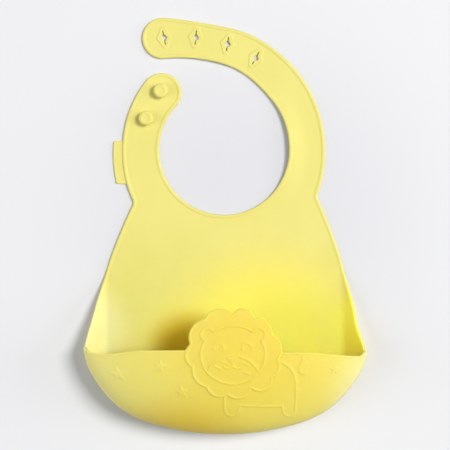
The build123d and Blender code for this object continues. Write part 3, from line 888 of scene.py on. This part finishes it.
plan, polar_a = from_uv(front_flat)
rho = np.sin(polar_a)
crown = np.clip(1 - rho**FLAT_TOP, 0, 1) ** (1 / ROUND_SIDE)
wall = np.stack([plan[:, 0], plan[:, 1], SEAM_Z + DOME * crown], 1)
steep = FLAT_TOP * np.maximum(rho, 1e-6) ** (FLAT_TOP - 2)
wall_normal = np.stack(
    [
        steep * plan[:, 0] / POCKET_X**2,
        steep * (plan[:, 1] - MOUTH_Y) / POCKET_Y**2,
        ROUND_SIDE * crown ** (ROUND_SIDE - 1) / DOME,
    ],
    1,
)
wall_normal /= np.linalg.norm(wall_normal, axis=1)[:, None]

EASY_SIDE = (0.94, 0.34)  # the lines of the drawing fall away more gently to this side
edge_gap = distance(plan, edge_fine)
mane_gap = np.where(inside(plan, mane), 1, -1) * distance(plan, mane, True)
in_mane = smooth((mane_gap + 0.15) / 0.5)
relief = 0.38 * in_mane
line_height = np.zeros(len(plan))
for line, half, height in strokes:
    box = (plan > line.min(0) - 2).all(1) & (plan < line.max(0) + 2).all(1)
    d, side = line_gap(plan[box], line, EASY_SIDE)
    foot = half * (1 + 0.34 * side)
    ridge = height * np.clip(1 - (d / foot) ** 2, 0, 1) ** 1.5
    line_height[box] = np.maximum(line_height[box], ridge)
for loop, height in figures:
    box = (plan > loop.min(0) - 2).all(1) & (plan < loop.max(0) + 2).all(1)
    d = np.where(inside(plan[box], loop), 1, -1) * distance(plan[box], loop, True)
    slab = height * smooth((d + 0.3) / 0.75)
    line_height[box] = np.maximum(line_height[box], slab)
rim_bead = 0.28 * (1 - smooth((edge_gap - 0.9) / 1.0)) * (1 - smooth((mane_gap + 2.0) / 2.0))
WALL_R = 40.0  # roughly how far an angle of one radian reaches along the wall at the seam
seam_gap = (math.pi / 2 - polar_a) * WALL_R
parting = 0.5 * np.exp(-((seam_gap / 0.6) ** 2))
soft = 1 - smooth((np.abs(plan[:, 0]) - 98.0) / 4.0)
outer_g = relief + line_height * smooth(edge_gap / 1.2) + rim_bead + parting
outer_g = outer_g - rounding(edge_gap, 0.95) * soft
inner_g = -SHEET + rounding(edge_gap, 0.85) * soft
outer_wall = droop(wall + wall_normal * outer_g[:, None], plan)
inner_wall = droop(wall + wall_normal * inner_g[:, None], plan)
front_edges = open_edges(front_faces)
front = closed_mesh("pocket_front_wall", front_faces, outer_wall, inner_wall, front_edges)

# ------------------------ studs and tab
# From foot to crown: radius, height.
STUD_PROFILE = [
    (4.6, 1.9), (3.9, 2.15), (3.25, 2.6), (2.95, 3.3), (2.9, 4.5),
    (3.1, 5.1), (4.4, 5.25), (5.15, 5.5), (5.5, 6.1), (5.5, 6.7),
    (5.32, 7.15), (4.95, 7.6), (4.45, 7.93), (3.9, 8.12), (3.4, 8.18),
    (3.0, 8.08), (2.6, 7.94), (1.6, 7.84), (0.7, 7.82),
]


def turned(name, profile, x, y, steps=56):
    """A round part turned from a profile of (radius, height)."""
    points, faces = [], []
    for r, z in profile:
        for k in range(steps):
            a = 2 * math.pi * k / steps
            points.append(((x + r * math.cos(a)) * MM, (y + r * math.sin(a)) * MM, z * MM))
    for i in range(len(profile) - 1):
        for k in range(steps):
            n = (k + 1) % steps
            faces.append((i * steps + k, i * steps + n, (i + 1) * steps + n, (i + 1) * steps + k))
    faces.append(tuple(range((len(profile) - 1) * steps, len(profile) * steps)))
    faces.append(tuple(reversed(range(steps))))
    return add_mesh(name, points, faces)


stud_high = turned("stud_button_upper", STUD_PROFILE, -48.1, 100.2)
stud_low = turned("stud_button_lower", STUD_PROFILE, -59.0, 79.7)

tab_outer = join(
    np.array([(-70.0, 30.7), (-79.8, 30.7)]),
    three_arc((-79.8, 30.7), (-81.1, 31.2), (-81.6, 32.5), 0.4),
    three_arc((-81.6, 32.5), (-83.75, 48.0), (-83.5, 61.8), 0.8),
    three_arc((-83.5, 61.8), (-83.2, 62.7), (-82.3, 63.0), 0.4),
    np.array([(-82.3, 63.0), (-74.0, 63.0)]),
)
tab_outer = refined(tab_outer, 0.8)
left_side = chain[(chain[:, 0] < -60) & (chain[:, 1] > 20) & (chain[:, 1] < 70)]
left_side = left_side[np.argsort(left_side[:, 1])]
shoulder_x = np.interp(tab_outer[:, 1], left_side[:, 1], left_side[:, 0])
tab_outer = tab_outer[tab_outer[:, 0] < shoulder_x + 0.35]
tab_root = left_side[(left_side[:, 1] > 32.0) & (left_side[:, 1] < 62.6)][::-1] + np.array([0.5, 0])
tab_loop = np.concatenate([tab_outer, tab_root])[::-1]
tab_rings = offsets(tab_loop, (0.15, 0.35, 0.6, 0.95, 1.5, 2.3), True)
tab_rings = tab_rings[inside(tab_rings, tab_loop)]
tab_rings = tab_rings[distance(tab_rings, tab_loop, True) > 0.12]
tab_grid = lattice((-84, 31), (-68, 64), 1.6)
tab_grid = tab_grid[inside(tab_grid, tab_loop)]
tab_grid = tab_grid[distance(tab_grid, tab_loop, True) > 2.6]
tab_rings = sparse(tab_rings, tab_loop, 0.1)
tab_flat, tab_faces = constrained([tab_loop], [], np.concatenate([tab_rings, tab_grid]))
tab_edge = distance(tab_flat, tab_outer)
tab_top = 1.4 + 0.07 * np.exp(-(((tab_edge - 0.9) / 0.5) ** 2)) - rounding(tab_edge, 0.6)
tab_low = rounding(tab_edge, 0.4)
tab = closed_mesh(
    "loop_tab",
    tab_faces,
    np.column_stack([tab_flat, tab_top]),
    np.column_stack([tab_flat, tab_low]),
    open_edges(tab_faces),
)


# ------------------------ material
def add_node(tree, kind, **inputs):
    """A shader node with some sockets set, each named with _ for a space."""
    node = tree.nodes.new("ShaderNode" + kind)
    for socket, value in inputs.items():
        node.inputs[socket.replace("_", " ")].default_value = value
    return node


def silicone(name, seed, painted_light):
    """Satin, translucent silicone with a fine moulded skin, its colour varied by painted light:
    bounce light, shade, shadow and sheen.
    """
    material = bpy.data.materials.new(name)
    material.use_nodes = True
    tree = material.node_tree
    tree.nodes.clear()
    link = tree.links.new
    out = add_node(tree, "OutputMaterial")
    shader = add_node(
        tree,
        "BsdfPrincipled",
        IOR=1.41,
        Subsurface_Radius=(1.0, 0.74, 0.13),
        Subsurface_Scale=0.005,
        Sheen_Weight=0.03,
        Sheen_Roughness=0.45,
        Specular_IOR_Level=0.28,
    )
    link(shader.outputs["BSDF"], out.inputs["Surface"])

    coords = add_node(tree, "TexCoord")
    mapping = add_node(tree, "Mapping", Location=(seed, 0, 0))
    link(coords.outputs["Object"], mapping.inputs["Vector"])

    cloud = add_node(tree, "TexNoise", Scale=22.0, Detail=3.0, Roughness=0.5)
    link(mapping.outputs["Vector"], cloud.inputs["Vector"])
    ramp = add_node(tree, "ValToRGB")
    ramp.color_ramp.elements[0].position = 0.3
    ramp.color_ramp.elements[0].color = (0.735, 0.666, 0.180, 1)
    ramp.color_ramp.elements[1].position = 0.7
    ramp.color_ramp.elements[1].color = (0.768, 0.698, 0.206, 1)
    link(cloud.outputs["Fac"], ramp.inputs["Fac"])

    # The base colour carries painted light: painted bounce light as a deeper yellow in and round
    # the pocket and on the chest's right wall, a painted shadow under the mane, painted shade along
    # the pocket's lower edge, and painted sheen as a lighter, whiter yellow at the pocket's two
    # ends and on the chest's left wall. The places and the colours are fixed to the object.
    colour = ramp.outputs["Color"]
    # Each place mixes in its painted light, full at the near distance and gone at the far one.
    for middle, near, far, tint in painted_light:
        away = add_node(tree, "VectorMath")
        away.operation = "DISTANCE"
        away.inputs[1].default_value = middle
        link(coords.outputs["Object"], away.inputs[0])
        amount = add_node(tree, "MapRange", From_Min=near, From_Max=far, To_Min=1.0, To_Max=0.0)
        amount.interpolation_type = "SMOOTHSTEP"
        link(away.outputs["Value"], amount.inputs["Value"])
        mix = add_node(tree, "Mix")
        mix.data_type = "RGBA"
        mix.inputs["B"].default_value = (*tint, 1)
        link(amount.outputs["Result"], mix.inputs["Factor"])
        link(colour, mix.inputs["A"])
        colour = mix.outputs["Result"]
    link(colour, shader.inputs["Base Color"])

    # Scattering would darken the open cuts between the lengths, so it fades out below them.
    split = add_node(tree, "SeparateXYZ")
    link(coords.outputs["Object"], split.inputs["Vector"])
    scatter = add_node(tree, "MapRange", From_Min=-0.070, From_Max=0.010, To_Min=0.9, To_Max=0.0)
    scatter.interpolation_type = "SMOOTHSTEP"
    link(split.outputs["Y"], scatter.inputs["Value"])
    link(scatter.outputs["Result"], shader.inputs["Subsurface Weight"])

    smear = add_node(tree, "TexNoise", Scale=60.0, Detail=4.0)
    link(mapping.outputs["Vector"], smear.inputs["Vector"])
    rough = add_node(tree, "MapRange", To_Min=0.46, To_Max=0.60)
    link(smear.outputs["Fac"], rough.inputs["Value"])
    link(rough.outputs["Result"], shader.inputs["Roughness"])

    grain = add_node(tree, "TexNoise", Scale=900.0, Detail=2.0)
    link(mapping.outputs["Vector"], grain.inputs["Vector"])
    bump = add_node(tree, "Bump", Strength=0.08, Distance=0.0002)
    link(grain.outputs["Fac"], bump.inputs["Height"])
    link(bump.outputs["Normal"], shader.inputs["Normal"])
    return material


# Painted light in the base colour, where it departs from the plain yellow: middle, near and far
# distance in metres, colour.
PANEL_PAINTED_LIGHT = [
    # painted bounce light: a deeper, brighter yellow on the chest beside the pocket
    ((0.032, -0.098, 0.0), 0.034, 0.098, (0.965, 0.782, 0.115)),
    # painted shadow of the mane on the floor of the pocket
    ((-0.032, -0.089, 0.0), 0.005, 0.035, (0.740, 0.515, 0.010)),
    # painted sheen: a lighter, whiter yellow on the chest's left wall
    ((-0.104, -0.078, 0.01), 0.016, 0.042, (0.880, 0.790, 0.360)),
    # painted bounce light: a brighter, deeper yellow on the chest's right wall
    ((0.106, -0.076, 0.01), 0.016, 0.036, (1.000, 0.830, 0.110)),
]
FRONT_PAINTED_LIGHT = [
    # painted bounce light: a deeper yellow over the pocket front
    ((0.018, -0.094, 0.03), 0.015, 0.105, (0.760, 0.630, 0.095)),
    # painted shade: darker along the pocket's lower edge
    ((-0.028, -0.172, 0.02), 0.024, 0.066, (0.680, 0.515, 0.057)),
    # painted sheen: a lighter, whiter yellow at the pocket's right end
    ((0.110, -0.122, 0.01), 0.015, 0.052, (0.770, 0.720, 0.330)),
    # painted sheen: a lighter, whiter yellow at the pocket's left end
    ((-0.110, -0.115, 0.01), 0.015, 0.056, (0.800, 0.730, 0.270)),
]
panel_silicone = silicone("yellow_silicone_panel", 0.0, PANEL_PAINTED_LIGHT)
front_silicone = silicone("yellow_silicone_pocket", 3.0, FRONT_PAINTED_LIGHT)
for piece in list(sheets.values()) + [front, stud_high, stud_low, tab]:
    piece.data.materials.append(front_silicone if piece is front else panel_silicone)


def bend_at(piece):
    """Bakes the placement of a length of the sheet into its mesh."""
    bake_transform(piece)


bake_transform(sheets["bib_panel"])
bend_at(sheets["buttonhole_strap_root"])
bend_at(sheets["buttonhole_strap_middle"])
bend_at(sheets["buttonhole_strap_end"])
bend_at(sheets["stud_strap_root_length"])
bend_at(sheets["stud_strap_end_length"])
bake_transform(front)
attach(stud_high, "stud_strap_end")
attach(stud_low, "stud_strap_root")
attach(tab, "collar")

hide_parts("chest_panel", "pocket_back", "neck_yoke")
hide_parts("hole_strap_root")
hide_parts("hole_strap_mid", "buttonhole_rim_3", "buttonhole_rim_4")
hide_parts("hole_strap_end", "buttonhole_rim_1", "buttonhole_rim_2")
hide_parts("stud_strap_root")
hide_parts("stud_strap_end")
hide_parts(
    "pocket_front",
    "pocket_rim_left",
    "pocket_rim_right",
    "lion_mane",
    "lion_mane_outline",
    "lion_face_outline",
    "lion_muzzle_outline",
    "lion_nose",
    "lion_eyes",
    "lion_mouth",
    "lion_whiskers",
    "lion_body_outline",
    "lion_tail_tip",
    "star_1",
    "star_2",
    "star_3",
    "star_4",
)
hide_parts("stud_upper")
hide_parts("stud_lower")
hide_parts("side_tab")

# ------------------------ stage, light and camera
floor_mesh = bpy.data.meshes.new("floor")
floor_mesh.from_pydata([(-3, -3, 0), (3, -3, 0), (3, 3, 0), (-3, 3, 0)], [], [(0, 1, 2, 3)])
floor = bpy.data.objects.new("floor", floor_mesh)
bpy.context.collection.objects.link(floor)
# Painted shade: the paper is a little darker and cooler round the bib than further out.
paper = bpy.data.materials.new("paper")
paper.use_nodes = True
paper_tree = paper.node_tree
paper_shader = paper_tree.nodes["Principled BSDF"]
paper_shader.inputs["Roughness"].default_value = 0.9
where = add_node(paper_tree, "TexCoord")
from_middle = add_node(paper_tree, "VectorMath")
from_middle.operation = "DISTANCE"
from_middle.inputs[1].default_value = (0.02, 0.0, 0.0)
floor_shade_fade = add_node(paper_tree, "MapRange", From_Min=0.03, From_Max=0.20)
floor_shade_fade.interpolation_type = "SMOOTHSTEP"
painted_floor_shade = add_node(paper_tree, "Mix")
painted_floor_shade.data_type = "RGBA"
painted_floor_shade.inputs["A"].default_value = (0.665, 0.668, 0.702, 1)
painted_floor_shade.inputs["B"].default_value = (0.738, 0.741, 0.756, 1)
paper_tree.links.new(where.outputs["Object"], from_middle.inputs[0])
paper_tree.links.new(from_middle.outputs["Value"], floor_shade_fade.inputs["Value"])
paper_tree.links.new(floor_shade_fade.outputs["Result"], painted_floor_shade.inputs["Factor"])
paper_tree.links.new(painted_floor_shade.outputs["Result"], paper_shader.inputs["Base Color"])
floor_mesh.materials.append(paper)

world = bpy.data.worlds.new("studio")
bpy.context.scene.world = world
world.use_nodes = True
sky = world.node_tree.nodes["Background"]
sky.inputs["Color"].default_value = (0.93, 0.96, 1.0, 1)
sky.inputs["Strength"].default_value = 0.135


def area_light(name, azimuth, elevation, reach, size, power, colour):
    """A round soft light aimed at the origin: its direction in degrees, then metres and watts."""
    a, e = math.radians(azimuth), math.radians(elevation)
    place = Vector((math.cos(a) * math.cos(e), math.sin(a) * math.cos(e), math.sin(e))) * reach
    data = bpy.data.lights.new(name, "AREA")
    data.shape = "DISK"
    data.size = size
    data.energy = power
    data.color = colour
    light = bpy.data.objects.new(name, data)
    light.location = place
    light.rotation_euler = (-place).to_track_quat("-Z", "Y").to_euler()
    bpy.context.collection.objects.link(light)


area_light("key", 19, 56, 5.0, 2.0, 212.0, (1.0, 0.985, 0.965))
area_light("fill", 190, 44, 3.5, 1.8, 26.0, (0.96, 0.98, 1.0))
area_light("top", 110, 80, 3.5, 1.8, 14.0, (0.96, 0.98, 1.0))
area_light("side", 0, 22, 3.5, 1.7, 34.0, (1.0, 1.0, 1.0))
area_light("back", 180, 15, 3.5, 2.0, 24.0, (1.0, 1.0, 1.0))

camera_data = bpy.data.cameras.new("camera")
camera_data.lens = 128.0
camera_data.sensor_width = 36.0
camera_data.clip_start = 0.01
camera = bpy.data.objects.new("camera", camera_data)
camera.location = (0, 0, 1.2)
bpy.context.collection.objects.link(camera)
bpy.context.scene.camera = camera
bpy.context.scene.view_settings.view_transform = "Standard"
